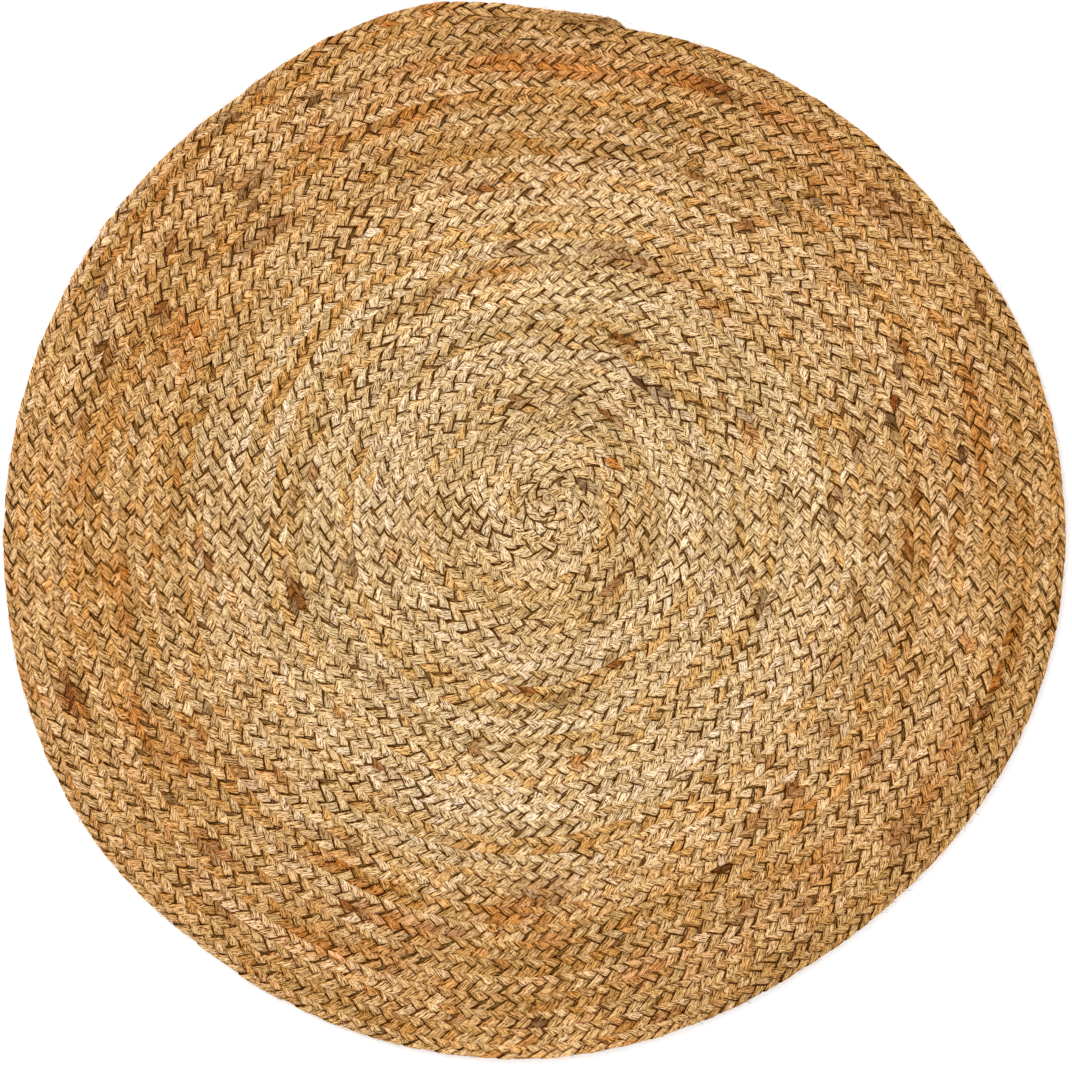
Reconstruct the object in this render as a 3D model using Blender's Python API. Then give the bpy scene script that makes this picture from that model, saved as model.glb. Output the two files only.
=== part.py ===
"""A round jute rug: two flat three-strand braids, wound side by side and sewn edge to edge.

The rug lies flat on its underside, which is the plane z = 0, with the middle of its
bounding box on the z axis. Seen from above, angles start at +X and turn anticlockwise.
Both braids start in the middle and run outwards clockwise, so each turn of the pair lies
two braids' widths outside the turn before. The first braid has its outer end at END_ANGLE,
and the second one stops a little before that, tucked under the first.
"""

import math

import bpy

# Driving sizes, in metres and degrees.
END_RADIUS = 0.4638       # centre to the outer braid's edge at its end, before the end is shaped
EDGE_FALL = 0.0269        # how far the edge has moved in one turn before: two braids' widths
BRAID_WIDTH = 0.0141
THICKNESS = 0.008         # underside to the crowns of the braid
RIM_ROUNDING = 0.003      # the braid's rounded outer edge, above and below
RIM_SEGMENTS = 3
OUTLINE_STEP = 2.0        # angle between the points of the outline

# The first braid's outer end. Where the second braid stops, the first one moves in by one
# braid's width to take its place, and then thins out to its own end.
END_ANGLE = 80.0
MOVE_START, MOVE_STOP = 24.0, 8.0      # angles before the end between which it moves in
THINNING_ANGLE = 8.0
END_SHARE = 0.5                        # of the braid's width that is left at the very end

# Every turn steps in where the maker's hand passed the start of a new round.
GATHER_DEPTH = 0.0183
GATHER_ANGLE = 76.0
GATHER_SPREAD = 11.0

# The coil was pulled round by hand, so its edge swells and flattens a little.
EDGE_WAVES = (
    # swells round the edge, height of a swell, angle of one swell
    {"swells": 1, "height": 0.0038, "angle": 28.0},
    {"swells": 2, "height": 0.0032, "angle": 32.5},
    {"swells": 3, "height": 0.0049, "angle": -9.0},
    {"swells": 4, "height": 0.0026, "angle": 2.0},
    {"swells": 6, "height": 0.0012, "angle": -25.0},
)
DENTS = (
    # short stretches where the last turn was sewn tighter
    {"angle": 36.0, "depth": 0.0034, "spread": 9.0},
    {"angle": 123.0, "depth": 0.0026, "spread": 8.0},
    {"angle": 231.0, "depth": 0.0028, "spread": 9.0},
)

# Colour and finish of dry, undyed jute.
JUTE_COLOUR = (0.56, 0.35, 0.15, 1.0)
JUTE_ROUGHNESS = 0.9


def turned_from(angle, other):
    """The turn from one angle to another, between -180 and 180 degrees."""
    return (angle - other + 180.0) % 360.0 - 180.0


def smooth_step(share):
    """0 up to share 0, 1 from share 1, and an even curve between."""
    share = min(max(share, 0.0), 1.0)
    return share * share * (3.0 - 2.0 * share)


def end_shaping(behind_end):
    """How far the edge lies inside the plain coil, at an angle before the braid's end."""
    moved = 1.0 - smooth_step((behind_end - MOVE_STOP) / (MOVE_START - MOVE_STOP))
    left = min(END_SHARE + (1.0 - END_SHARE) * behind_end / THINNING_ANGLE, 1.0)
    return BRAID_WIDTH * moved + BRAID_WIDTH * (1.0 - left)


def edge_radius(angle):
    """Centre to the rug's edge at an angle from END_ANGLE up to one full turn past it."""
    behind_end = angle - END_ANGLE
    radius = END_RADIUS - EDGE_FALL * behind_end / 360.0 - end_shaping(behind_end)
    past_gather = turned_from(angle, GATHER_ANGLE)
    radius += GATHER_DEPTH * (past_gather / 360.0 - 0.5 * math.tanh(past_gather / GATHER_SPREAD))
    for wave in EDGE_WAVES:
        turned = math.radians(wave["swells"] * (angle - wave["angle"]))
        radius += wave["height"] * math.cos(turned)
    for dent in DENTS:
        past_dent = turned_from(angle, dent["angle"]) / dent["spread"]
        radius -= dent["depth"] * math.exp(-past_dent * past_dent)
    return radius


def outline_points():
    """The rug's edge seen from above, as (x, y), with its bounding box centred."""
    count = round(360.0 / OUTLINE_STEP)
    points = []
    for index in range(count):
        angle = END_ANGLE + index * OUTLINE_STEP
        radius = edge_radius(angle)
        turned = math.radians(angle)
        points.append((radius * math.cos(turned), radius * math.sin(turned)))
    xs = [point[0] for point in points]
    ys = [point[1] for point in points]
    middle_x = (min(xs) + max(xs)) / 2.0
    middle_y = (min(ys) + max(ys)) / 2.0
    return [(x - middle_x, y - middle_y) for x, y in points]


def jute_material():
    """Matt, undyed jute."""
    material = bpy.data.materials.new("jute")
    material.use_nodes = True
    shader = material.node_tree.nodes["Principled BSDF"]
    shader.inputs["Base Color"].default_value = JUTE_COLOUR
    shader.inputs["Roughness"].default_value = JUTE_ROUGHNESS
    shader.inputs["Metallic"].default_value = 0.0
    return material


def braided_rug(collection):
    """The whole coil of braid as one flat solid with a rounded rim."""
    curve = bpy.data.curves.new("braided_rug", "CURVE")
    curve.dimensions = "2D"
    curve.fill_mode = "BOTH"
    curve.extrude = THICKNESS / 2.0 - RIM_ROUNDING
    curve.bevel_depth = RIM_ROUNDING
    curve.bevel_resolution = RIM_SEGMENTS - 1
    curve.offset = -RIM_ROUNDING

    points = outline_points()
    spline = curve.splines.new("POLY")
    spline.points.add(len(points) - 1)
    for spline_point, (x, y) in zip(spline.points, points):
        spline_point.co = (x, y, 0.0, 1.0)
    spline.use_cyclic_u = True
    curve.materials.append(jute_material())

    rug = bpy.data.objects.new("braided_rug", curve)
    rug.location.z = THICKNESS / 2.0
    collection.objects.link(rug)
    return rug


for old_object in list(bpy.data.objects):
    bpy.data.objects.remove(old_object)

rug_collection = bpy.data.collections.new("round_jute_rug")
bpy.context.scene.collection.children.link(rug_collection)
braided_rug(rug_collection)
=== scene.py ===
"""A round jute rug: the visual model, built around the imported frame.

Two flat three-strand jute braids are wound side by side in a spiral and sewn edge to edge.
Lengths are in metres and angles in degrees, anticlockwise from +X as seen from above.
"""

import math

import bmesh
import bpy
import numpy as np
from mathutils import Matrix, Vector


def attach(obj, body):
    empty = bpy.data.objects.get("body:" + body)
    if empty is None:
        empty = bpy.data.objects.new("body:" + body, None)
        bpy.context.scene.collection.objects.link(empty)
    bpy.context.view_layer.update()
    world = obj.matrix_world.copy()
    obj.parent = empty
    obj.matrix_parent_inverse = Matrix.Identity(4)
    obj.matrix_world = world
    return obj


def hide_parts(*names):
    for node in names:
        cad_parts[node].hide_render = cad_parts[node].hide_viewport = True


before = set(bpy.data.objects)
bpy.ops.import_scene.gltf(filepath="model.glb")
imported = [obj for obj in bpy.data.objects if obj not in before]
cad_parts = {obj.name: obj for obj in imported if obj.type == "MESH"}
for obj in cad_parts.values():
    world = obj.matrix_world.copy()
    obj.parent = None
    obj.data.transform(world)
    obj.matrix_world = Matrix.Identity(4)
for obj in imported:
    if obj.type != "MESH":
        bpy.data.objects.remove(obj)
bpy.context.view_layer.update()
scene = bpy.context.scene


# Camera, floor and lights. The photograph looks straight down on the rug, which lies on
# white and nearly fills the frame. A big soft light stands at the upper left.

PHOTO_WIDTH_PX, PHOTO_HEIGHT_PX = 1072, 1066
RUG_MIDDLE_PX = (534.5, 530.0)          # the middle of the rug's box in the photograph
PIXEL = 0.90 / 1052                     # the rug's mean diameter over its width in pixels
LENS_MM = 90.0
SENSOR_MM = 36.0

camera_data = bpy.data.cameras.new("camera")
camera_data.lens = LENS_MM
camera_data.sensor_width = SENSOR_MM
camera = bpy.data.objects.new("camera", camera_data)
scene.collection.objects.link(camera)
view_width = PHOTO_WIDTH_PX * PIXEL
camera.location = (
    (PHOTO_WIDTH_PX / 2 - RUG_MIDDLE_PX[0]) * PIXEL,
    (RUG_MIDDLE_PX[1] - PHOTO_HEIGHT_PX / 2) * PIXEL,
    view_width * LENS_MM / SENSOR_MM,
)
scene.camera = camera
scene.view_settings.view_transform = "Standard"

FLOOR_SIZE = 8.0
FLOOR_WHITE, FLOOR_ROUGHNESS = (0.97, 0.97, 0.97, 1.0), 0.8
SKY_WHITE, SKY_STRENGTH = (1.0, 1.0, 1.0, 1.0), 1.10
bpy.ops.mesh.primitive_plane_add(size=FLOOR_SIZE, location=(0, 0, 0))
floor = bpy.context.object
floor.name = "floor"
floor_paint = bpy.data.materials.new("floor_white")
floor_paint.use_nodes = True
floor_shader = floor_paint.node_tree.nodes["Principled BSDF"]
floor_shader.inputs["Base Color"].default_value = FLOOR_WHITE
floor_shader.inputs["Roughness"].default_value = FLOOR_ROUGHNESS
floor.data.materials.append(floor_paint)

world = bpy.data.worlds.new("studio")
world.use_nodes = True
sky = world.node_tree.nodes["Background"]
sky.inputs["Color"].default_value = SKY_WHITE
sky.inputs["Strength"].default_value = SKY_STRENGTH
scene.world = world


def soft_light(name, place, size, watts):
    """A square area light that points at the middle of the rug."""
    data = bpy.data.lights.new(name, "AREA")
    data.size = size
    data.energy = watts
    light = bpy.data.objects.new(name, data)
    light.location = place
    light.rotation_euler = (-Vector(place)).to_track_quat("-Z", "Y").to_euler()
    scene.collection.objects.link(light)


soft_light("key_light", (-2.0, 1.9, 2.6), 1.2, 42.0)
soft_light("fill_light", (1.8, -1.2, 2.2), 1.6, 7.0)


# The coil. Both braids start in the middle and run outwards, clockwise. A lane is a place
# across the coil, counted in braid widths from the middle: a braid moves out by two lanes in
# one round, and the second braid is one lane inside the first. The shape is the CAD outline's.

BRAID_WIDTH = 0.0141
FIRST_LANE = 34.0                        # the first braid's lane where its angle is 0
RIM_LANE = 31.5
COIL_RADIUS = 0.4323
GROWTH = 1.086                           # the turns are a little narrower in the middle
CROWDING, CROWDING_POWER = 0.00215, 14   # and sewn tighter towards the rim
EVEN_LANES, BLEND_LANES = 4.0, 6.0       # the innermost turns are evenly spaced, and blend in
WAVE_GROWTH = 1.17
EYE_LANE = 1.07                          # the lane that has no radius left
EYE_SHIFT = Vector((0.0056, 0.0107))     # the coil's middle, from the outline's
EYE_PULL = Vector((0.0120, 0.0115))      # and the innermost turns', from the coil's
EYE_PULL_LANES = 5.0
EDGE_WAVES = (
    # fitted to the photograph: swells round the rim, height of a swell, angle of one swell
    {"swells": 1, "height": 0.0037, "angle": 28.0},
    {"swells": 2, "height": 0.0031, "angle": 32.5},
    {"swells": 3, "height": 0.0047, "angle": -9.0},
    {"swells": 4, "height": 0.0025, "angle": 2.0},
    {"swells": 6, "height": 0.0012, "angle": -25.0},
)
GATHER_DEPTH = 0.0183                    # every turn steps in where a new round began
GATHER_ANGLE = 76.0
GATHER_SPREAD = 11.0
GATHER_LANES = 8.0                       # the step has its full depth from this lane on
DENTS = (
    # short stretches where the last turn was sewn tighter
    {"angle": 36.0, "depth": 0.0034, "spread": 9.0},
    {"angle": 123.0, "depth": 0.0026, "spread": 8.0},
    {"angle": 231.0, "depth": 0.0028, "spread": 9.0},
)
BRAIDS = (
    # start, in lanes from the middle; outer end, the width left there, angle of its thinning
    {"name": "a", "start": -0.80, "end": 78.6, "end_share": 0.55, "thinning": 10.0, "seed": 11},
    {"name": "b", "start": 0.35, "end": 90.5, "end_share": 0.14, "thinning": 9.5, "seed": 21},
)
MOVE_START, MOVE_STOP = 24.0, 8.0        # before its end, the first braid moves in by a lane
END_SLOPE = 1.8                          # each end is cut off slantwise, shorter on its outer side
END_REACH = 90.0                         # how far back an end's thinning moves its braid in
START_SHARE, START_ANGLE = 0.75, 180.0   # the width left at the start, and where it is full
RIM_STOP, RIM_FADE = 374.0, 20.0         # how far back the last turn lies on the rim
RIM_HALF_WIDTH = 0.0059                  # the last turn's outer half is rounded and narrower
WANDER, WANDER_LENGTH = 0.0006, 0.030    # the hand-sewn turns are not quite even
COURSE_POINTS = 40000


def smooth_step(share):
    """0 up to share 0, 1 from share 1, and an even curve between."""
    share = np.clip(share, 0.0, 1.0)
    return share * share * (3.0 - 2.0 * share)


def turned_from(angle, other):
    """The turn from one angle to another, between -180 and 180 degrees."""
    return (angle - other + 180.0) % 360.0 - 180.0


def lane_radius(lane, angle):
    """From the middle of a lane's round to the lane, at an angle. Not a number below lane 0."""
    share = lane / RIM_LANE
    wide = COIL_RADIUS * share ** GROWTH - CROWDING * share ** CROWDING_POWER
    near = BRAID_WIDTH * (lane - EYE_LANE)
    blend = smooth_step((lane - EVEN_LANES) / BLEND_LANES)
    waves = sum(
        wave["height"] * np.cos(np.radians(wave["swells"] * (angle - wave["angle"])))
        for wave in EDGE_WAVES
    )
    past = turned_from(angle, GATHER_ANGLE)
    gather = GATHER_DEPTH * (past / 360.0 - 0.5 * np.tanh(past / GATHER_SPREAD))
    gather = gather * smooth_step(lane / GATHER_LANES)
    return near + (wide - near) * blend + waves * share ** WAVE_GROWTH + gather


def lane_places(lane, angle, inwards=0.0):
    """Places on a lane seen from above, as (x, y) rows."""
    radius = lane_radius(lane, angle) - inwards
    share = lane / RIM_LANE
    pull = np.exp(-((lane - EYE_LANE) / EYE_PULL_LANES) ** 2)
    x = radius * np.cos(np.radians(angle)) + EYE_SHIFT.x * (1 - share) + EYE_PULL.x * pull
    y = radius * np.sin(np.radians(angle)) + EYE_SHIFT.y * (1 - share) + EYE_PULL.y * pull
    return np.stack([x, y], axis=1)


def smooth_noise(rng, distance, spacing):
    """Slow random swings from -1 to 1 along a distance, one knot each spacing."""
    count = int(distance.max() / spacing) + 3
    knots = rng.uniform(-1.0, 1.0, count)
    return np.interp(distance / spacing, np.arange(count), knots)


def braid_course(braid, first_lane):
    """One braid's centreline from the middle outwards: places, lengths, widths and fullness."""
    last_angle = (first_lane - EYE_LANE - braid["start"]) * 180.0
    angle = np.linspace(last_angle, braid["end"], COURSE_POINTS)
    lane = first_lane - angle / 180.0
    behind_end = angle - braid["end"]
    outer_side, inner_side = lane_places(lane + 0.5, angle), lane_places(lane - 0.5, angle)
    width = np.linalg.norm(outer_side - inner_side, axis=1)
    inwards = np.zeros(COURSE_POINTS)
    fullness = np.minimum(
        braid["end_share"] + (1 - braid["end_share"]) * behind_end / braid["thinning"], 1.0
    )
    started = smooth_step((last_angle - angle) / START_ANGLE)
    fullness = fullness * (START_SHARE + (1 - START_SHARE) * started)
    on_rim = np.zeros(COURSE_POINTS)
    if first_lane == FIRST_LANE:
        inwards = 1 - smooth_step((behind_end - MOVE_STOP) / (MOVE_START - MOVE_STOP))
        inwards = inwards * BRAID_WIDTH
        on_rim = smooth_step((RIM_STOP - behind_end) / RIM_FADE)
        for dent in DENTS:
            past = turned_from(angle, dent["angle"]) / dent["spread"]
            inwards = inwards + dent["depth"] * np.exp(-past ** 2) * on_rim
    inwards = inwards + BRAID_WIDTH / 2 * (1 - fullness) * (behind_end < END_REACH)
    distance = np.cumsum(np.abs(lane_radius(lane, angle))) * math.radians(angle[0] - angle[1])
    wander = WANDER * smooth_noise(np.random.default_rng(braid["seed"]), distance, WANDER_LENGTH)
    places = lane_places(lane, angle, inwards + wander * (1 - on_rim))
    steps = np.linalg.norm(np.diff(places, axis=0), axis=1)
    headings = np.gradient(places, axis=0)
    headings /= np.linalg.norm(headings, axis=1)[:, None]
    return {
        "places": places,
        "headings": headings,
        "lengths": np.concatenate([[0.0], np.cumsum(steps)]),
        "widths": width,
        "fullness": fullness,
        "on_rim": on_rim,
        "behind_end": behind_end,
    }


courses = [braid_course(braid, FIRST_LANE - number) for number, braid in enumerate(BRAIDS)]


def rug_outline():
    """The rug's edge: the first braid's last turn, pushed out to its outer side."""
    course = courses[0]
    last_turn = course["behind_end"] < 360.0
    ahead = course["headings"][last_turn]
    outward = np.stack([-ahead[:, 1], ahead[:, 0]], axis=1)
    to_edge = RIM_HALF_WIDTH * course["fullness"][last_turn]
    return course["places"][last_turn] + outward * to_edge[:, None]


outline = rug_outline()
outline_middle = (outline.min(axis=0) + outline.max(axis=0)) / 2
outline = outline - outline_middle
for course in courses:
    course["places"] = course["places"] - outline_middle


# The strands. Each is a flat, loose ribbon of jute fibre. It runs slantwise from edge to edge
# of its braid and folds over there: on top from the middle outwards, and underneath on its
# way back. So each face shows two columns of slanting leaves that point back along the coil.

LEAF_PITCH = 0.01343                     # from one leaf to the next, along one edge
PERIOD = 3 * LEAF_PITCH
LEAF_HALF_LENGTH = 0.0075                # a leaf's cut along the braid, half of it
RIBBON_HALF_WIDTH = 0.0043               # and the ribbon's own half width, square to its fibres
RIBBON_HALF_THICKNESS = 0.0017
FLATNESS = 0.45                          # the section's power: 1 is an ellipse, less is boxier
FOLD_SIDE = 0.0077                       # the ribbon's middle at a fold, from the braid's
RIM_FOLD_SIDE = 0.0050                   # and on the outer side of the last turn
FOLD_SHARPNESS = 0.97                    # 0 is a sine, 1 a zigzag
FOLD_ROUNDING = 0.10
FOLD_TRIM = 0.22                         # how much narrower a ribbon is at a fold
LAYER_HEIGHT = 0.0020                    # the upper layer's middle, above the braid's
BRAID_MIDDLE_Z = 0.0040
EMERGING_SLANT = 1 / 3                   # a ribbon comes up along the other column's leaf
CLIMB_SOFTNESS = 0.17
LEAF_TILT = 0.0003                       # each leaf's outer side lies a little higher
PACE_SWING, PACE_LENGTH = 1.00, 0.065    # how far the leaves crowd and spread along a braid
SIDE_SPREAD, SHIFT_SPREAD = 0.00055, 0.0012          # how much single leaves differ: sideways
LIFT_SPREAD, TILT_SPREAD = 0.00032, 0.00030          # and lengthwise, in height and in tilt
LENGTH_SPREAD, THICKNESS_SPREAD = 0.15, 0.06         # and in their size, as shares of it
FLAT_ANGLE, FLAT_SHARE = 12.0, 0.2       # the layers close up towards a braid's end
END_LENGTH_SHARE, END_THICKNESS_SHARE = 0.5, 0.4     # of a leaf, where a braid has no width
FOLD_TRIM_POWER = 8
FLOOR_GAP = 0.0001
RING_ANGLES = (10, 32, 60, 80, 100, 120, 148, 170)   # rings in each half swing
SIDES = 8
MAP_ROWS = 30                            # the strand's map is cut into rows, side by side
MAP_LEFT, MAP_WIDTH = 0.004, 0.992       # a row's place and size across the map
ROW_GAP, ROW_HEIGHT = 0.04, 0.92         # and in its own share of the map's height
CAP_LEFT, CAP_STEP, CAP_RADIUS = 0.02, 0.03, 0.01    # the end caps lie in the row on top
# How a strand's tone and tint change: the spread from leaf to leaf, and then the strength
# and length of the slow changes of its own and of those that it shares with its braid.
LEAF_SHADE, OWN_SHADE, COMMON_SHADE = 0.34, (0.8, 0.12), (1.5, 0.20)
LEAF_TINT, OWN_TINT, COMMON_TINT = 0.50, (1.1, 0.12), (0.8, 0.30)
STAINS = (
    # centimetres: x, y, half length along the braid, half width; then the dye and its strength
    # upper right
    (2, 39.6, 6, 1, 0, 0.8), (12, 38.6, 4.5, 0.9, 0, 0.8), (15.5, 37.6, 2, 0.8, 1, 0.6),
    (20.5, 35.6, 2.5, 1.2, 0, 0.65), (24.5, 33, 3, 1, 0, 0.6), (26.5, 30, 3.5, 2, 0, 0.45),
    (30, 27.3, 2.5, 1.2, 1, 0.45), (30.8, 28.5, 0.9, 0.5, 2, 0.6), (7, 23.6, 2.8, 0.9, 1, 0.55),
    (11, 22, 2, 0.7, 0, 0.5), (15.5, 18.6, 2, 0.6, 0, 0.6), (18, 26, 0.9, 0.5, 1, 0.8),
    (16.5, 27.3, 0.9, 0.4, 1, 0.6), (23.7, 26.2, 1.5, 0.6, 0, 0.55), (23.5, 28.3, 0.6, 0.4, 2, 0.6),
    (21.3, 27.5, 0.5, 0.4, 2, 0.45), (7.5, 16.2, 1, 0.5, 1, 0.95), (9.2, 12.4, 0.6, 0.4, 2, 0.85),
    (10.7, 11.6, 0.6, 0.4, 2, 0.85), (2.8, 11.1, 1, 0.5, 2, 0.55), (6.3, 9.9, 1.2, 0.5, 1, 0.85),
    (6.5, 5.8, 0.6, 0.5, 0, 0.95), (3.8, 4, 0.8, 0.4, 2, 0.6), (5.1, 3.6, 0.6, 0.4, 2, 0.5),
    (16.1, 11.3, 0.7, 0.5, 1, 0.7), (18, 9.6, 1, 0.5, 2, 0.45), (18.3, 8, 1.5, 0.7, 0, 0.65),
    (31, 15.5, 0.5, 0.5, 1, 0.9), (31, 13.6, 1.1, 0.5, 2, 0.65), (30.8, 10.4, 0.8, 0.5, 1, 0.85),
    (30.6, 8.8, 0.8, 0.3, 2, 0.8), (27.4, 7.2, 1, 0.6, 1, 0.8), (36.4, 6.5, 0.6, 0.5, 2, 0.95),
    (37.5, 11, 3, 1, 0, 0.55), (38, 6.5, 3, 0.9, 0, 0.5), (38, 19.2, 1, 0.5, 1, 0.8),
    (36.3, 22.5, 0.7, 0.5, 1, 0.75), (32.5, 3.3, 0.8, 0.5, 1, 0.8), (36.9, 2.7, 0.8, 0.5, 1, 0.65),
    (26, 3, 0.8, 0.6, 1, 0.65), (25.2, 1.6, 0.7, 0.4, 2, 0.6), (27, 21.3, 0.8, 0.4, 2, 0.5),
    (13.5, 30.2, 0.8, 0.5, 1, 0.65),
    # upper left
    (-3, 39.7, 3.5, 0.8, 0, 0.9), (-3, 41.2, 2.5, 0.5, 1, 0.55), (-10, 39.3, 3, 0.7, 0, 0.5),
    (-8.7, 44.3, 1.2, 0.6, 0, 0.7), (-12.5, 43.3, 0.8, 0.5, 0, 0.9), (-7.8, 36.2, 0.8, 0.5, 1, 0.6),
    (-11, 35.1, 2.6, 0.8, 0, 0.75), (-18.9, 36.6, 0.6, 0.5, 2, 0.85), (-16.3, 37, 0.7, 0.4, 2, 0.6),
    (-18.5, 41.3, 1, 0.5, 0, 0.6), (-23.5, 37.6, 0.8, 0.5, 1, 0.8), (-26, 34.9, 1.2, 0.5, 2, 0.6),
    (-18.5, 32.8, 2.5, 0.9, 0, 0.55), (-24.4, 28.8, 0.9, 0.5, 2, 0.8),
    (-24.3, 27.2, 0.8, 0.4, 2, 0.7), (-24, 29.9, 2, 0.8, 1, 0.5), (-26.6, 30, 0.5, 0.4, 2, 0.55),
    (-4.5, 29, 1.2, 0.5, 1, 0.85), (-7.3, 29.2, 0.8, 0.5, 1, 0.5), (-22.3, 25.7, 1.8, 0.8, 1, 0.65),
    (-24.8, 24, 0.9, 0.6, 1, 0.75), (-31, 24.5, 0.9, 0.5, 1, 0.65), (-32, 18.5, 0.9, 0.6, 1, 0.8),
    (-30, 16.5, 2.2, 1.5, 0, 0.7), (-29.7, 13.5, 1.5, 0.7, 0, 0.55), (-37, 20.5, 0.8, 0.5, 2, 0.55),
    (-37, 16, 0.7, 0.5, 2, 0.85), (-36.3, 14, 1.5, 0.7, 1, 0.55), (-2.2, 24, 1, 0.6, 1, 0.7),
    (-4, 21.9, 3, 0.7, 0, 0.6), (-9, 20, 1.6, 0.6, 1, 0.75), (-12.2, 18.3, 1.2, 0.5, 1, 0.75),
    (-1.8, 10.8, 0.7, 0.6, 1, 0.9), (-16.5, 12.8, 1, 0.6, 0, 0.6), (-19.2, 4.5, 0.6, 0.5, 1, 0.7),
    (-20.6, 2.3, 0.9, 0.5, 1, 0.65), (-38.7, 4, 0.9, 0.6, 0, 0.75), (-38.6, 9.3, 0.6, 0.4, 1, 0.6),
    # lower left
    (-35.3, -4.5, 2, 0.9, 0, 0.75), (-35, -8, 1.6, 0.7, 0, 0.5), (-28.7, -1.2, 0.6, 0.5, 1, 0.7),
    (-27.8, -3.3, 0.6, 0.5, 1, 0.7), (-21.2, -3.8, 0.8, 0.4, 1, 0.75),
    (-20.2, -5.7, 1, 0.5, 1, 0.95), (-20.4, -6.9, 0.5, 0.4, 2, 0.65), (-15.7, -3.2, 1, 0.4, 2, 0.8),
    (-12, -2, 1.2, 0.5, 0, 0.55), (-40.1, -12.9, 0.9, 0.6, 2, 0.4),
    (-39.6, -14.4, 1.6, 0.8, 1, 0.75), (-38.8, -16, 1.6, 0.7, 0, 0.55),
    (-33.8, -16, 2.5, 1, 0, 0.55), (-27.7, -15.4, 0.8, 0.5, 2, 0.55),
    (-28.6, -17.5, 1.3, 0.6, 1, 0.55), (-30.5, -19.2, 2.5, 1, 0, 0.6),
    (-31, -22.4, 0.6, 0.5, 2, 0.9), (-32.7, -19, 0.8, 0.4, 1, 0.7), (-25, -20.5, 1.5, 0.6, 1, 0.55),
    (-21.5, -21.3, 0.8, 0.5, 1, 0.65), (-27.7, -27.3, 1.6, 0.7, 1, 0.7),
    (-18.5, -35.2, 3, 1, 0, 0.65), (-13, -36.5, 2.5, 0.9, 0, 0.55), (-25.8, -33, 0.7, 0.4, 1, 0.7),
    (-13.3, -20.3, 0.9, 0.5, 1, 0.9), (-16.5, -15.5, 0.8, 0.6, 0, 0.6),
    (-12.8, -13.4, 0.6, 0.5, 1, 0.7), (-4.8, -18.6, 0.9, 0.5, 1, 0.75),
    (-0.8, -13.6, 0.8, 0.4, 1, 0.75), (-18.5, -25.8, 1, 0.5, 1, 0.7),
    (-15.3, -27.3, 0.9, 0.5, 2, 0.55), (-16.6, -28.2, 1.4, 0.7, 0, 0.7),
    (-15.4, -32.2, 0.9, 0.5, 1, 0.85), (-11.5, -33.6, 3, 0.8, 0, 0.75),
    (-7.5, -34.1, 2, 0.6, 1, 0.55), (-2, -32.5, 3, 1.2, 0, 0.6), (-7, -41.5, 1, 0.5, 1, 0.65),
    # lower right
    (6.7, -4.8, 1, 0.5, 1, 0.85), (6.7, -11.5, 0.9, 0.5, 1, 0.85), (2.2, -14.2, 0.8, 0.4, 2, 0.6),
    (3.8, -19.7, 1, 0.4, 0, 0.9), (1, -31, 2.5, 1, 1, 0.5), (1.5, -35.3, 1.8, 0.7, 0, 0.7),
    (0.3, -42, 0.6, 0.4, 2, 0.85), (11.5, -41.2, 1, 0.4, 1, 0.55), (9.5, -37.5, 2.2, 1.2, 0, 0.55),
    (18.4, -4.2, 0.8, 0.5, 1, 0.7), (19.2, -6.2, 1.4, 0.4, 2, 0.65),
    (27.5, -5.5, 0.9, 0.5, 1, 0.75), (31.8, -1.6, 1, 0.6, 1, 0.55), (35.7, -1, 1.2, 0.6, 0, 0.75),
    (39.5, -12.5, 1.1, 0.6, 0, 0.9), (38.3, -15.3, 0.9, 0.5, 1, 0.7), (40.8, -8.5, 2, 0.8, 0, 0.55),
    (25.4, -16.6, 0.8, 0.5, 1, 0.7), (19.6, -19.6, 0.7, 0.5, 1, 0.85),
    (28.8, -19, 1.3, 0.6, 1, 0.55), (22, -22, 0.8, 0.6, 1, 0.8), (21.7, -23.6, 1.3, 0.6, 0, 0.9),
    (18.8, -25, 1.8, 0.6, 1, 0.65), (16.5, -28.6, 0.6, 0.5, 2, 0.75), (24.5, -28.5, 2, 1, 0, 0.65),
    (22.5, -32.3, 1.3, 0.6, 1, 0.55), (17.7, -32.9, 1.3, 0.6, 1, 0.55),
    (31.5, -26, 2, 1.1, 1, 0.55), (33.5, -22.5, 2.2, 1, 0, 0.7), (35.5, -18.5, 2.5, 1, 0, 0.5),
)
LEAF_REACH, LEAF_SIDE = 0.75, 0.5        # a stain takes in at least a leaf
STAIN_SIZE = 1.3                         # how far a stain reaches, squared, in its half sizes
DYE_TAKEN_UP, DYE_LIMITS = (1.1, 0.20), (0.5, 1.35)  # not every leaf takes the dye alike
OUTER_TINTS = (0.20, 0.16)               # more leaves are rust-coloured in the outer turns
OUTER_FROM, OUTER_OVER = 0.20, 0.15      # these begin here, and are in full this much further
RUST_LENGTH, RUST_LIMIT = 0.12, 0.8


def leaf_values(rng, phase, spread):
    """A random value for each leaf, which blends into the next where the strand is hidden."""
    leaf = phase / (math.pi / 2)
    count = int(leaf.max()) + 3
    return np.interp(leaf, np.arange(count) + 0.5, rng.normal(0.0, spread, count))


def whole_leaf_values(rng, leaf, spread):
    """A random value for each leaf, the same all over it."""
    return rng.normal(0.0, spread, leaf.max() + 1)[leaf]


def slow_change(rng, distance, strength, length):
    """Slow random swings of a given strength, one knot each length."""
    return strength * smooth_noise(rng, distance, length)


def set_values(mesh, name, kind, values):
    """Store one value for each point of a mesh."""
    field = "value" if kind == "FLOAT" else "vector"
    attribute = mesh.attributes.new(name, kind, "POINT")
    attribute.data.foreach_set(field, values.astype(np.float32).ravel())


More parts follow.
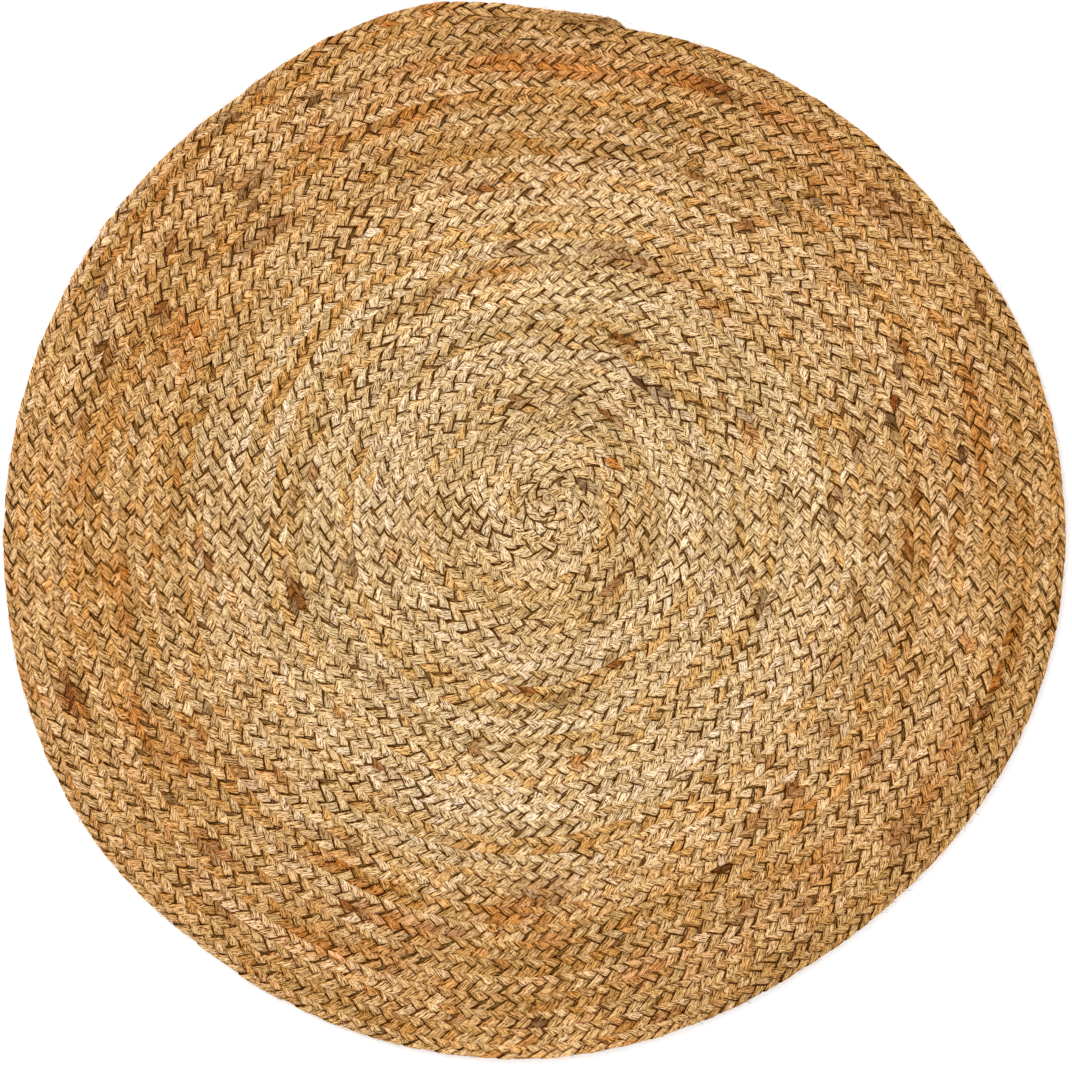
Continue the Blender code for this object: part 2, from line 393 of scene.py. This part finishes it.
def strand_mesh(name, course, number, seed):
    """One strand of a braid as a closed ribbon from the middle of the rug to its outer end."""
    length = course["lengths"][-1]
    common = np.random.default_rng(seed)
    own = np.random.default_rng(seed + 1 + number)
    finely = np.linspace(0.0, length, COURSE_POINTS)
    pace = PACE_SWING * smooth_noise(common, finely, PACE_LENGTH)
    phase_finely = 2 * math.pi * (finely / PERIOD + number / 3) + pace
    half_swings = np.arange(int(phase_finely[-1] / math.pi) + 1) * math.pi
    phase = (half_swings[:, None] + np.radians(RING_ANGLES)).ravel()
    phase = phase[(phase > phase_finely[0]) & (phase < phase_finely[-1])]
    rings = len(phase) - 1
    along = np.interp(phase, phase_finely, finely)

    def at(values, distance=along):
        return np.interp(distance, course["lengths"], values)

    fullness = at(course["fullness"])
    wide_share = at(course["widths"]) / BRAID_WIDTH
    laid_flat = np.clip(at(course["behind_end"]) / FLAT_ANGLE, FLAT_SHARE, 1.0)
    end_half_width = FOLD_SIDE * course["fullness"][-1]

    swing = np.arcsin(FOLD_SHARPNESS * np.sin(phase)) / math.asin(FOLD_SHARPNESS)
    lean = np.cos(phase)
    face_up = lean / np.sqrt(lean ** 2 + FOLD_ROUNDING ** 2)
    face_out = FOLD_ROUNDING / np.sqrt(lean ** 2 + FOLD_ROUNDING ** 2) * np.sign(swing)
    rim_fold = RIM_FOLD_SIDE * at(course["on_rim"]) + FOLD_SIDE * (1 - at(course["on_rim"]))
    fold_side = np.where(swing > 0, rim_fold, FOLD_SIDE)
    side = swing * (fold_side * wide_share + leaf_values(own, phase, SIDE_SPREAD)) * fullness
    outbound = swing * np.sign(lean)
    climb_height = LAYER_HEIGHT * np.abs(face_up) * fullness * laid_flat
    lift = leaf_values(own, phase, LIFT_SPREAD) * fullness
    half_length = LEAF_HALF_LENGTH * (1 + leaf_values(own, phase, LENGTH_SPREAD))
    half_length = half_length * (END_LENGTH_SHARE + (1 - END_LENGTH_SHARE) * fullness)
    trim = FOLD_TRIM * np.abs(swing) ** FOLD_TRIM_POWER
    shift = leaf_values(own, phase, SHIFT_SPREAD)
    tilt = (LEAF_TILT + leaf_values(own, phase, TILT_SPREAD)) * np.abs(face_up)
    half_thick = RIBBON_HALF_THICKNESS * (END_THICKNESS_SHARE + (1 - END_THICKNESS_SHARE) * fullness)
    half_thick = half_thick * (1 + leaf_values(own, phase, THICKNESS_SPREAD))

    bm = bmesh.new()
    bm.loops.layers.uv.new("OFBake")
    bmesh.ops.create_grid(bm, x_segments=rings, y_segments=SIDES, size=0.5, calc_uvs=True)
    mesh = bpy.data.meshes.new(name)
    bm.to_mesh(mesh)
    bm.free()

    flat = np.empty(len(mesh.vertices) * 3, dtype=np.float32)
    mesh.vertices.foreach_get("co", flat)
    flat = flat.reshape(-1, 3)
    ring = np.rint((flat[:, 0] + 0.5) * rings).astype(int)
    turned = (np.rint((flat[:, 1] + 0.5) * SIDES) + 0.5) / SIDES * 2 * math.pi
    cosine, sine = np.cos(turned), np.sin(turned)
    wide = np.sign(cosine) * np.abs(cosine) ** FLATNESS
    thick = half_thick[ring] * np.sign(sine) * np.abs(sine) ** FLATNESS
    reach = np.where(wide > 0, 1 - trim[ring], 1.0) * wide * half_length[ring]
    stop = length - END_SLOPE * np.maximum(side + end_half_width, 0.0)
    there = np.clip(along[ring] + shift[ring] - reach, 0.0, stop[ring])
    centre = np.stack([at(course["places"][:, axis], there) for axis in (0, 1)], axis=1)
    ahead = np.stack([at(course["headings"][:, axis], there) for axis in (0, 1)], axis=1)
    outward = np.stack([-ahead[:, 1], ahead[:, 0]], axis=1)
    place = np.zeros((len(flat), 3))
    place[:, :2] = centre + outward * (side[ring] + thick * face_out[ring])[:, None]
    emerged = outbound[ring] - wide * EMERGING_SLANT
    height = climb_height[ring] * np.tanh(emerged / CLIMB_SOFTNESS) + lift[ring]
    place[:, 2] = BRAID_MIDDLE_Z + height + thick * face_up[ring] - tilt[ring] * wide
    place[:, 2] = np.maximum(place[:, 2], FLOOR_GAP)
    mesh.vertices.foreach_set("co", place.astype(np.float32).ravel())

    loops = np.empty(len(mesh.loops) * 2, dtype=np.float32)
    layer = mesh.uv_layers["OFBake"].data
    layer.foreach_get("uv", loops)
    corners = loops.reshape(-1, 4, 2)
    ring_at = np.rint(corners[:, :, 0] * rings)
    rings_in_row = math.ceil(rings / MAP_ROWS)
    row = ring_at.min(axis=1) // rings_in_row
    in_row = ring_at - row[:, None] * rings_in_row
    corners[:, :, 0] = MAP_LEFT + MAP_WIDTH * in_row / rings_in_row
    corners[:, :, 1] = (row[:, None] + ROW_GAP + ROW_HEIGHT * corners[:, :, 1]) / (MAP_ROWS + 1)
    layer.foreach_set("uv", corners.ravel())

    yarn = [along[ring] + number, wide * RIBBON_HALF_WIDTH, thick]
    set_values(mesh, "yarn", "FLOAT_VECTOR", np.stack(yarn, axis=1))
    leaf_number = (phase / (math.pi / 2)).astype(int)
    shade = whole_leaf_values(own, leaf_number, LEAF_SHADE)
    shade = shade + slow_change(own, along, *OWN_SHADE)
    shade = shade + slow_change(common, along, *COMMON_SHADE)
    tint = whole_leaf_values(own, leaf_number, LEAF_TINT)
    tint = tint + slow_change(own, along, *OWN_TINT)
    tint = tint + slow_change(common, along, *COMMON_TINT)
    leaf = [shade[ring], tint[ring], wide]
    set_values(mesh, "leaf", "FLOAT_VECTOR", np.stack(leaf, axis=1))
    set_values(mesh, "emerged", "FLOAT", emerged)

    leaf_middles = np.interp((np.arange(leaf_number.max() + 1) + 0.5) * math.pi / 2, phase, along)
    leaf_sides = np.interp(leaf_middles, along, side)
    heading = np.stack([at(course["headings"][:, axis], leaf_middles) for axis in (0, 1)], axis=1)
    across = np.stack([-heading[:, 1], heading[:, 0]], axis=1)
    middle = np.stack([at(course["places"][:, axis], leaf_middles) for axis in (0, 1)], axis=1)
    middle = middle + across * leaf_sides[:, None]
    stain = np.zeros((len(middle), 3))
    taken_up = np.clip(own.normal(*DYE_TAKEN_UP, len(middle)), *DYE_LIMITS)
    outer = smooth_step((np.linalg.norm(middle, axis=1) - OUTER_FROM) / OUTER_OVER)
    rust = own.normal(0.0, OUTER_TINTS[0], len(middle))
    rust = rust + OUTER_TINTS[1] * smooth_noise(own, leaf_middles, RUST_LENGTH)
    stain[:, 0] = np.clip(rust, 0.0, RUST_LIMIT) * outer
    for place_x, place_y, stain_length, stain_width, dye, strength in STAINS:
        off = middle * 100 - np.array([place_x, place_y])
        lengthwise = (off * heading).sum(axis=1) / max(stain_length, LEAF_REACH)
        sideways = (off * across).sum(axis=1) / max(stain_width, LEAF_SIDE)
        near = np.exp(-((lengthwise ** 2 + sideways ** 2) / STAIN_SIZE) ** 2)
        stain[:, dye] = np.maximum(stain[:, dye], np.minimum(strength * near * taken_up, 1.0))
    stain = stain[leaf_number]
    set_values(mesh, "stain", "FLOAT_VECTOR", stain[ring])

    bm = bmesh.new()
    bm.from_mesh(mesh)
    bmesh.ops.remove_doubles(bm, verts=bm.verts, dist=1e-6)
    caps = bmesh.ops.holes_fill(bm, edges=bm.edges, sides=SIDES)["faces"]
    bake_map = bm.loops.layers.uv["OFBake"]
    for number_of_cap, cap in enumerate(caps):
        for corner, loop in enumerate(cap.loops):
            turn = corner / SIDES * 2 * math.pi
            loop[bake_map].uv = (
                CAP_LEFT + CAP_STEP * number_of_cap + CAP_RADIUS * math.cos(turn),
                (MAP_ROWS + 0.5) / (MAP_ROWS + 1) + CAP_RADIUS * math.sin(turn),
            )
    bmesh.ops.recalc_face_normals(bm, faces=bm.faces)
    bm.to_mesh(mesh)
    bm.free()
    mesh.shade_smooth()
    return mesh


# Jute. The strands are undyed: straw in the middle of the rug, golden to orange-brown in the
# outer turns, with fine dark and pale fibres along each strand and a tint of its own on
# each leaf. Here and there a bundle was stained orange, brown or nearly black.

class Value:
    """A shader value that can be reckoned with like a number."""

    def __init__(self, material, socket):
        self.material = material
        self.socket = socket

    def _math(self, operation, first, second):
        return self.material.node("ShaderNodeMath", {"operation": operation}, {0: first, 1: second})

    def __add__(self, other):
        return self._math("ADD", self, other)

    __radd__ = __add__

    def __mul__(self, other):
        return self._math("MULTIPLY", self, other)

    def __sub__(self, other):
        return self._math("SUBTRACT", self, other)

    def __rsub__(self, other):
        return self._math("SUBTRACT", other, self)

    def __pow__(self, other):
        return self._math("POWER", self, other)


class Material:
    """A node material, built one node at a time around its Principled BSDF."""

    def __init__(self, name):
        self.data = bpy.data.materials.new(name)
        self.data.use_nodes = True
        self.tree = self.data.node_tree
        self.shader = self.tree.nodes["Principled BSDF"]

    def node(self, kind, settings=None, inputs=None, output=0):
        """Add a node: its settings, then its inputs' values or links. Gives one output."""
        node = self.tree.nodes.new(kind)
        for name, setting in (settings or {}).items():
            setattr(node, name, setting)
        for name, value in (inputs or {}).items():
            self.put(node.inputs[name], value)
        return Value(self, node.outputs[output])

    def put(self, socket, value):
        """Give a socket a value or a link."""
        if isinstance(value, Value):
            self.tree.links.new(value.socket, socket)
        else:
            socket.default_value = value

    def mix(self, factor, first, second, blend="MIX"):
        """A mix of two colours."""
        settings = {"data_type": "RGBA", "blend_type": blend, "clamp_factor": True}
        return self.node("ShaderNodeMix", settings, {0: factor, 6: first, 7: second}, output=2)

    def ramp(self, value, start, stop):
        """0 up to one value, 1 from another, and an even curve between."""
        settings = {"interpolation_type": "SMOOTHSTEP"}
        inputs = {"Value": value, "From Min": start, "From Max": stop}
        return self.node("ShaderNodeMapRange", settings, inputs)

    def noise(self, vector, scale, detail=2.0):
        """Even noise from 0 to 1 over a vector."""
        inputs = {"Vector": vector, "Scale": scale, "Detail": detail}
        return self.node("ShaderNodeTexNoise", None, inputs)


STRAW, GOLD = (0.605, 0.388, 0.160, 1.0), (0.497, 0.259, 0.073, 1.0)
PALE_STRAW, PALE_GOLD = (0.795, 0.580, 0.305, 1.0), (0.725, 0.460, 0.205, 1.0)
DARK_FIBRE = (0.100, 0.030, 0.001, 1.0)
# Painted shade: the deep brown of the creases between the leaves.
CREASE_SHADE = (0.075, 0.021, 0.001, 1.0)
# Painted shade: a warm darkening of each leaf towards its edges, beside the creases.
EDGE_SHADE = (0.92, 0.74, 0.42, 1.0)
RUSTY_TINT = (0.96, 0.80, 0.56, 1.0)
WHITISH_TINT = (1.0, 1.03, 1.20, 1.0)
COARSE_FIBRES = (80.0, 900.0, 1.5)       # scale along the strand, scale across it, detail
FINE_FIBRES = (330.0, 1700.0, 1.0)
FIBRE_PATCHES = (80.0, 200.0, 1.0)
GRAIN_SCALE, BROAD_SCALE = 1100.0, 9.0
GOLDEN_FROM, GOLDEN_TO = 0.20, 0.40      # from the middle of the rug
GREEN_POWER, BLUE_POWER = 1.25, 2.0      # what is darker is warmer
BUMP_STRENGTH, BUMP_DEPTH = 0.70, 0.0012
DYES = (
    # tints of orange, brown and nearly black
    (0.81, 0.51, 0.26, 1.0),
    (0.42, 0.24, 0.130, 1.0),
    (0.17, 0.105, 0.075, 1.0),
)


def jute_material():
    """Undyed jute strands, with painted shade in the creases and at the leaves' edges, and painted
    light in the leaves' middles.
    """
    jute = Material("jute")
    attribute = {"attribute_type": "GEOMETRY"}
    yarn = jute.node("ShaderNodeAttribute", {**attribute, "attribute_name": "yarn"}, output=1)
    leaf = jute.node("ShaderNodeAttribute", {**attribute, "attribute_name": "leaf"}, output=1)
    stain = jute.node("ShaderNodeAttribute", {**attribute, "attribute_name": "stain"}, output=1)
    separate = jute.node("ShaderNodeSeparateXYZ", None, {0: leaf}).socket.node
    shade = Value(jute, separate.outputs[0])
    tint = Value(jute, separate.outputs[1])
    wide = Value(jute, separate.outputs[2])
    stains = jute.node("ShaderNodeSeparateXYZ", None, {0: stain}).socket.node

    place = jute.node("ShaderNodeTexCoord", output=3)
    from_middle = jute.node("ShaderNodeVectorMath", {"operation": "LENGTH"}, {0: place}, output=1)
    broad = jute.noise(place, BROAD_SCALE)
    golden = from_middle + (broad - 0.5) * 0.16 + tint * 0.02
    golden = jute.ramp(golden, GOLDEN_FROM, GOLDEN_TO)

    def fibres(length_scale, width_scale, detail):
        settings = {"operation": "MULTIPLY"}
        stretch = (length_scale, width_scale, width_scale)
        stretched = jute.node("ShaderNodeVectorMath", settings, {0: yarn, 1: stretch})
        return jute.noise(stretched, 1.0, detail)

    coarse = fibres(*COARSE_FIBRES)
    fine = fibres(*FINE_FIBRES)
    patches = fibres(*FIBRE_PATCHES)
    grain = jute.noise(place, GRAIN_SCALE, 1.0)
    off_middle = wide * wide

    straw = jute.mix(golden, STRAW, GOLD)
    pale = jute.mix(golden, PALE_STRAW, PALE_GOLD)
    colour = jute.mix(jute.ramp(coarse, 0.44, 0.60), straw, pale)
    # Dark fibres; the threshold lets a few more of them lie towards each leaf's edges.
    colour = jute.mix(jute.ramp(coarse - off_middle * 0.04, 0.38, 0.30) * 0.65, colour, DARK_FIBRE)
    colour = jute.mix(jute.ramp(fine, 0.54, 0.64) * 0.70, colour, pale)
    colour = jute.mix(jute.ramp(fine - off_middle * 0.04, 0.46, 0.39), colour, DARK_FIBRE)
    colour = jute.mix(jute.ramp(tint, 0.0, 1.8), colour, RUSTY_TINT, "MULTIPLY")
    colour = jute.mix(jute.ramp(0 - tint, 0.0, 1.8), colour, WHITISH_TINT, "MULTIPLY")
    for dye, output in zip(DYES, stains.outputs):
        colour = jute.mix(Value(jute, output), colour, dye, "MULTIPLY")
    # Painted shade: the creases between the leaves, and the strip where a leaf comes out from under
    # another, are darkened to a deep brown.
    emerged = jute.node("ShaderNodeAttribute", {**attribute, "attribute_name": "emerged"}, output=2)
    buried = jute.node("ShaderNodeMath", {"operation": "ABSOLUTE"}, {0: emerged})
    # Painted shade: each leaf turns darker and warmer towards its edges and rounded corners, beside
    # the creases.
    outbound = emerged + wide * EMERGING_SLANT
    corner = (outbound * outbound) ** 4.0 * 0.45
    edge = off_middle * off_middle + corner + (fine - 0.5) * 0.25
    colour = jute.mix(jute.ramp(edge, 0.30, 0.75), colour, EDGE_SHADE, "MULTIPLY")
    colour = jute.mix(jute.ramp(edge, 0.74, 0.82), colour, CREASE_SHADE)
    colour = jute.mix(jute.ramp(buried, 0.075, 0.035), colour, CREASE_SHADE)
    # Painted light and shade: each leaf is lighter in its middle and darker towards its edges, as if
    # rounded. Its own tone, patches and grain follow.
    brightness = 1.09 - off_middle * 0.15 + shade * (0.098 + golden * 0.025)
    brightness = brightness + (patches - 0.5) * 0.30
    brightness = brightness + (grain - 0.5) * 1.45
    warmer = {0: brightness, 1: brightness ** GREEN_POWER, 2: brightness ** BLUE_POWER}
    warmer = jute.node("ShaderNodeCombineXYZ", None, warmer)
    colour = jute.node("ShaderNodeVectorMath", {"operation": "MULTIPLY"}, {0: colour, 1: warmer})

    jute.put(jute.shader.inputs["Base Color"], colour)
    jute.put(jute.shader.inputs["Roughness"], 0.72 + coarse * 0.2)
    jute.put(jute.shader.inputs["Specular IOR Level"], 0.0)
    relief = coarse * 0.7 + fine * 0.3
    bump = {"Strength": BUMP_STRENGTH, "Distance": BUMP_DEPTH, "Height": relief}
    bump = jute.node("ShaderNodeBump", None, bump)
    jute.put(jute.shader.inputs["Normal"], bump)
    return jute.data


jute = jute_material()
for braid, course in zip(BRAIDS, courses):
    for number in range(3):
        name = f"braid_{braid['name']}_strand_{number + 1}"
        mesh = strand_mesh(name, course, number, braid["seed"])
        mesh.materials.append(jute)
        strand = bpy.data.objects.new(name, mesh)
        scene.collection.objects.link(strand)
        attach(strand, "root")
        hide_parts("braided_rug")


# The matted fibre. Short jute fibres cling together between the strands and close the small
# gaps of the braids. They are one thin sheet at half height, and show only in those gaps. The
# sheet's dark brown is painted shade, the shade at the bottom of those gaps.

FIBRE_LOW_Z, FIBRE_HIGH_Z = 0.0030, 0.0048
FIBRE_INSET = 0.005                      # from the rug's edge
FIBRE_EDGE_STEP = 100                    # every so many points of the outline
# Painted shade: the sheet's two browns, dark as the bottom of the gaps in shade.
MATTED_SHADE_DARK = (0.12, 0.042, 0.005, 1.0)
MATTED_SHADE_LIGHT = (0.36, 0.19, 0.06, 1.0)


def shaded_matted_fibre():
    """A flat sheet with the rug's outline, a little smaller."""
    radius = np.linalg.norm(outline, axis=1)
    edge = (outline * (1 - FIBRE_INSET / radius)[:, None])[FIBRE_EDGE_STEP // 2::FIBRE_EDGE_STEP]
    bm = bmesh.new()
    face = bm.faces.new([bm.verts.new((x, y, FIBRE_LOW_Z)) for x, y in edge])
    top = bmesh.ops.extrude_face_region(bm, geom=[face])["geom"]
    upper = [item for item in top if isinstance(item, bmesh.types.BMVert)]
    bmesh.ops.translate(bm, verts=upper, vec=(0, 0, FIBRE_HIGH_Z - FIBRE_LOW_Z))
    bmesh.ops.triangulate(bm, faces=[face for face in bm.faces if len(face.verts) > 4])
    bmesh.ops.recalc_face_normals(bm, faces=bm.faces)
    mesh = bpy.data.meshes.new("shaded_matted_fibre")
    bm.to_mesh(mesh)
    bm.free()
    return bpy.data.objects.new("shaded_matted_fibre", mesh)


def matted_shade_material():
    """Jute fibre in painted shade: dark brown, as the bottoms of the gaps."""
    matted = Material("matted_jute_shade")
    place = matted.node("ShaderNodeTexCoord", output=3)
    tangle = matted.noise(place, 700.0, 4.0)
    matted.put(matted.shader.inputs["Base Color"], matted.mix(tangle, MATTED_SHADE_DARK, MATTED_SHADE_LIGHT))
    matted.put(matted.shader.inputs["Roughness"], 0.80 + tangle * 0.15)
    matted.put(matted.shader.inputs["Specular IOR Level"], 0.0)
    bump = matted.node("ShaderNodeBump", None, {"Strength": 0.6, "Distance": 0.001, "Height": tangle})
    matted.put(matted.shader.inputs["Normal"], bump)
    return matted.data


ground = shaded_matted_fibre()
ground.data.materials.append(matted_shade_material())
scene.collection.objects.link(ground)
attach(ground, "root")
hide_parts("braided_rug")


# Loose fibres. Jute sheds: short fibres lie over the leaves and stick out at the rim. At the
# braids' outer ends the strands are not plaited to the last, and more fibres lie over them.

FIBRE_RADIUS = 0.00012
FIBRE_POINTS = 6
SURFACE_Z = 0.0078
LOOSE_ON_TOP, LOOSE_AT_RIM = 800, 200
TOP_SLANT, RIM_SLANT, END_SLANT = (35.0, 25.0), (10.0, 14.0), (0.0, 26.0)  # mean and spread
TOP_LENGTHS, RIM_LENGTHS, END_LENGTHS = (0.006, 0.020), (0.005, 0.011), (0.006, 0.017)
TOP_BEND, END_BEND = (0.0, 0.5), (0.0, 0.30)         # a fibre's bend, as a share of its length
BAND_MARGIN = 0.0004                     # a fibre stays this far inside its band at the ends
END_FIBRES = (
    # braid, how many, how far back from its end they start, half width of the band
    (0, 260, 0.080, 0.0043),
    (1, 50, 0.030, 0.0025),
)
EYE_PLACE = np.array([0.0115, 0.0262])   # a curl of loose fibre closes the middle of the rug
EYE_RADIUS, EYE_FIBRES = 0.0064, 80
BROWN_SHARE = 0.35
GOLDEN_FIBRES = (0.53, 0.28, 0.085, 1.0), (0.75, 0.48, 0.20, 1.0)
BROWN_FIBRES = (0.140, 0.042, 0.004, 1.0), (0.31, 0.125, 0.028, 1.0)
STRAW_FIBRES = (0.60, 0.385, 0.160, 1.0), (0.83, 0.62, 0.34, 1.0)


def course_frame(course, distance):
    """A place on a braid's centreline, its headings along and outwards, and its fullness."""
    def at(values):
        return np.array([np.interp(distance, course["lengths"], values[:, axis]) for axis in (0, 1)])
    ahead = at(course["headings"])
    fullness = np.interp(distance, course["lengths"], course["fullness"])
    return at(course["places"]), ahead, np.array([-ahead[1], ahead[0]]), fullness


def loose_fibre_paths():
    """Every loose fibre: rows of x, y, z and its share of the radius, and its tone."""
    rng = np.random.default_rng(5)
    share = np.linspace(0.0, 1.0, FIBRE_POINTS)
    paths = []

    def bent(start, direction, length, bend, low, high, thick=1.0):
        sideways = np.array([-direction[1], direction[0]])
        flat = start + np.outer(share - 0.5, direction) * length
        flat = flat + np.outer((share - 0.5) ** 2, sideways) * bend * length
        heights = low + (high - low) * np.sin(math.pi * share)
        rows = np.column_stack([flat, heights, np.full(FIBRE_POINTS, thick)])
        paths.append((rows, int(rng.random() < BROWN_SHARE)))

    for _ in range(LOOSE_ON_TOP):
        course = courses[rng.integers(2)]
        distance = rng.uniform(0.02, course["lengths"][-1] - 0.02)
        place, ahead, outward, _ = course_frame(course, distance)
        slant = math.radians(rng.normal(*TOP_SLANT)) * rng.choice([-1, 1])
        direction = ahead * math.cos(slant) + outward * math.sin(slant)
        start = place + outward * rng.uniform(-0.006, 0.006)
        high = SURFACE_Z + rng.uniform(0.0002, 0.0012)
        length, bend = rng.uniform(*TOP_LENGTHS), rng.normal(*TOP_BEND)
        bent(start, direction, length, bend, SURFACE_Z - 0.0006, high)
    course = courses[0]
    round_rim = np.interp([360.0, 0.0], course["behind_end"][::-1], course["lengths"][::-1])
    for _ in range(LOOSE_AT_RIM):
        place, ahead, outward, fullness = course_frame(course, rng.uniform(*round_rim))
        slant = math.radians(rng.normal(*RIM_SLANT))
        direction = -ahead * math.cos(slant) + outward * math.sin(slant)
        start = place + outward * rng.uniform(0.0048, 0.0064) * fullness
        height = rng.uniform(0.0020, 0.0070)
        length, bend = rng.uniform(*RIM_LENGTHS), rng.normal(*TOP_BEND)
        bent(start, direction, length, bend, height, height + 0.0006)
    for number, count, back, half_width in END_FIBRES:
        course = courses[number]
        for _ in range(count):
            length = rng.uniform(*END_LENGTHS)
            slant = math.radians(rng.normal(*END_SLANT))
            room = half_width - BAND_MARGIN - 0.5 * length * abs(math.sin(slant))
            across = rng.uniform(-half_width, max(room, 0.0))
            cut_off = END_SLOPE * (across + half_width) + rng.uniform(-0.002, 0.001)
            from_end = rng.uniform(length / 2 + cut_off, back)
            place, ahead, outward, _ = course_frame(course, course["lengths"][-1] - from_end)
            direction = ahead * math.cos(slant) + outward * math.sin(slant)
            start = place + outward * across
            low = rng.uniform(0.0060, SURFACE_Z)
            high = low + rng.uniform(0.0001, 0.0006)
            bend, thick = rng.normal(*END_BEND), rng.uniform(1.0, 2.6)
            bent(start, direction, length, bend, low, high, thick)
    for _ in range(EYE_FIBRES):
        turn = rng.uniform(0.0, 2 * math.pi) + share * rng.uniform(1.0, 2.6)
        radius = rng.uniform(0.0008, EYE_RADIUS) * (1.0 - 0.25 * share)
        arc = np.stack([np.cos(turn), np.sin(turn)], axis=1) * radius[:, None] + EYE_PLACE
        heights = rng.uniform(0.0076, 0.0086) + 0.0004 * np.sin(math.pi * share)
        rows = np.column_stack([arc, heights, np.full(FIBRE_POINTS, rng.uniform(1.2, 3.4))])
        paths.append((rows, 1 if rng.random() < BROWN_SHARE else 2))
    return paths


def tube_mesh(name, paths, radius, materials):
    """Thin closed tubes along the paths, joined into one mesh."""
    curve = bpy.data.curves.new(name, "CURVE")
    curve.dimensions = "3D"
    curve.bevel_depth = radius
    curve.bevel_resolution = 0
    curve.use_fill_caps = True
    for material in materials:
        curve.materials.append(material)
    for rows, tone in paths:
        spline = curve.splines.new("POLY")
        spline.material_index = tone
        spline.points.add(len(rows) - 1)
        for point, (x, y, z, thick) in zip(spline.points, rows):
            point.co = (x, y, z, 1.0)
            point.radius = thick
    holder = bpy.data.objects.new(name + "_curve", curve)
    scene.collection.objects.link(holder)
    bpy.context.view_layer.update()
    evaluated = holder.evaluated_get(bpy.context.evaluated_depsgraph_get())
    mesh = bpy.data.meshes.new_from_object(evaluated)
    bpy.data.objects.remove(holder)
    bpy.data.curves.remove(curve)
    bm = bmesh.new()
    bm.from_mesh(mesh)
    bmesh.ops.remove_doubles(bm, verts=bm.verts, dist=1e-6)
    bmesh.ops.recalc_face_normals(bm, faces=bm.faces)
    bm.to_mesh(mesh)
    bm.free()
    mesh.name = name
    mesh.shade_smooth()
    return bpy.data.objects.new(name, mesh)


def fibre_material(name, colours):
    """Single jute fibres, with a little change of tone along them."""
    fibre = Material(name)
    place = fibre.node("ShaderNodeTexCoord", output=3)
    tone = fibre.ramp(fibre.noise(place, 400.0, 1.0), 0.35, 0.65)
    fibre.put(fibre.shader.inputs["Base Color"], fibre.mix(tone, *colours))
    fibre.put(fibre.shader.inputs["Roughness"], 0.70 + tone * 0.15)
    fibre.put(fibre.shader.inputs["Specular IOR Level"], 0.0)
    return fibre.data


fibre_tones = [
    fibre_material("golden_fibre", GOLDEN_FIBRES),
    fibre_material("brown_fibre", BROWN_FIBRES),
    fibre_material("straw_fibre", STRAW_FIBRES),
]
fibres = tube_mesh("loose_fibres", loose_fibre_paths(), FIBRE_RADIUS, fibre_tones)
scene.collection.objects.link(fibres)
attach(fibres, "root")
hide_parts("braided_rug")


# The sewing thread. It runs inside the seams, and comes to the surface only by the braids'
# outer ends, as short, dark stretches on the seams there.

THREAD_RADIUS = 0.0006
THREAD_Z, THREAD_DIP = 0.0087, 0.0012
THREAD_COLOUR, THREAD_WORN = (0.020, 0.008, 0.003, 1.0), (0.09, 0.035, 0.010, 1.0)
THREADS = (
    # centimetres: from x, y to x, y
    (2.3, 43.20, 3.6, 43.10), (3.7, 43.00, 4.3, 42.75), (4.6, 41.40, 5.7, 41.28),
    (5.3, 42.75, 6.1, 42.60), (7.2, 42.95, 7.7, 42.70), (-1.4, 41.85, 0.2, 41.85),
)


def thread_paths():
    """The centreline of each stretch of thread, dipping into the seam at its ends."""
    share = np.linspace(0.0, 1.0, FIBRE_POINTS)
    for from_x, from_y, to_x, to_y in THREADS:
        x = (from_x + (to_x - from_x) * share) / 100
        y = (from_y + (to_y - from_y) * share) / 100
        z = THREAD_Z - THREAD_DIP * (2 * share - 1) ** 4
        yield np.column_stack([x, y, z, np.ones(FIBRE_POINTS)]), 0


def thread_material():
    """Dark brown jute twine."""
    twine = Material("sewing_thread")
    place = twine.node("ShaderNodeTexCoord", output=3)
    worn = twine.ramp(twine.noise(place, 900.0, 2.0), 0.40, 0.65)
    twine.put(twine.shader.inputs["Base Color"], twine.mix(worn, THREAD_COLOUR, THREAD_WORN))
    twine.put(twine.shader.inputs["Roughness"], 0.70 + worn * 0.20)
    twine.put(twine.shader.inputs["Specular IOR Level"], 0.0)
    return twine.data


thread = tube_mesh("sewing_thread", thread_paths(), THREAD_RADIUS, [thread_material()])
scene.collection.objects.link(thread)
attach(thread, "root")
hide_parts("braided_rug")
